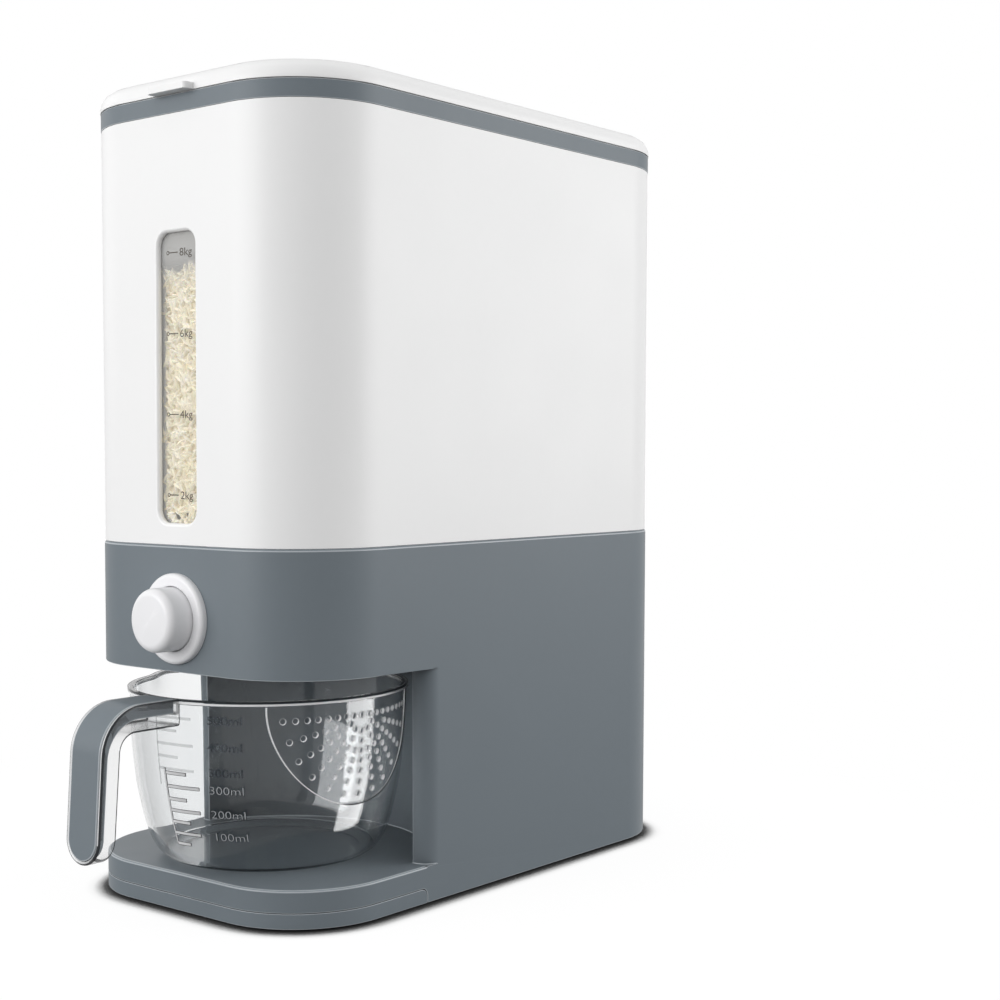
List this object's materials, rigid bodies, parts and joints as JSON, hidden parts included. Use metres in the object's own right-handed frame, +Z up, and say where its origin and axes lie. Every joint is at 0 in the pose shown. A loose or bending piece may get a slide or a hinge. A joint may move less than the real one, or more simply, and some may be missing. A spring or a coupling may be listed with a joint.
{
  "type": "rice dispenser",
  "caption": "Countertop rice dispenser: white hopper with level window on a grey base, push-button gate, and a clear measuring cup that pulls out of an open niche.",
  "frame": {"origin": "on the table, at the middle of the whole footprint from the cup handle's front to the lid hinge's back, on the middle plane", "axes": "+Z up, +Y from the front with the button towards the back, +X to the right seen from the front"},
  "size_m": [0.1836, 0.3898, 0.42],
  "materials": {
    "white_plastic": "satin",
    "grey_plastic": "satin",
    "button_plastic": "satin",
    "inner_plastic": "natural",
    "clear_plastic": "clear",
    "silicone": "matte",
    "rubber": "matte",
    "steel": "bright"
  },
  "bodies": {
    "root": {"base_housing": "grey_plastic", "bottom_cover": "grey_plastic", "bottom_screws": "steel", "rubber_feet": "rubber", "hopper_body": "white_plastic", "hopper_floor": "white_plastic", "window_pane": "clear_plastic", "window_retainer": "white_plastic", "rim_collar": "grey_plastic", "hinge_pin": "steel", "gate_housing": "inner_plastic", "gate_cover": "inner_plastic", "gate_screws": "steel", "button_bezel": "button_plastic"},
    "lid": {"lid": "white_plastic", "lid_seal": "silicone"},
    "button": {"button_cap": "button_plastic", "button_stem": "inner_plastic", "gate_slide": "inner_plastic", "stem_screw": "steel", "return_spring": "steel"},
    "cup": {"cup_bowl": "clear_plastic", "cup_handle_grip": "grey_plastic"}
  },
  "joints": [
    {"name": "lid_hinge", "type": "hinge", "parent": "root", "child": "lid", "pos_m": [0, 0.1904, 0.405], "axis": [-1, 0, 0], "range_deg": [0, 100]},
    {"name": "button_press", "type": "slide", "parent": "root", "child": "button", "axis": [0, 1, 0], "range_m": [0, 0.012], "stiffness_N_per_m": 400, "springref_m": -0.005, "deforming": ["return_spring"]},
    {"name": "cup_slide", "type": "slide", "parent": "root", "child": "cup", "axis": [0, -1, 0], "range_m": [0, 0.16]}
  ]
}
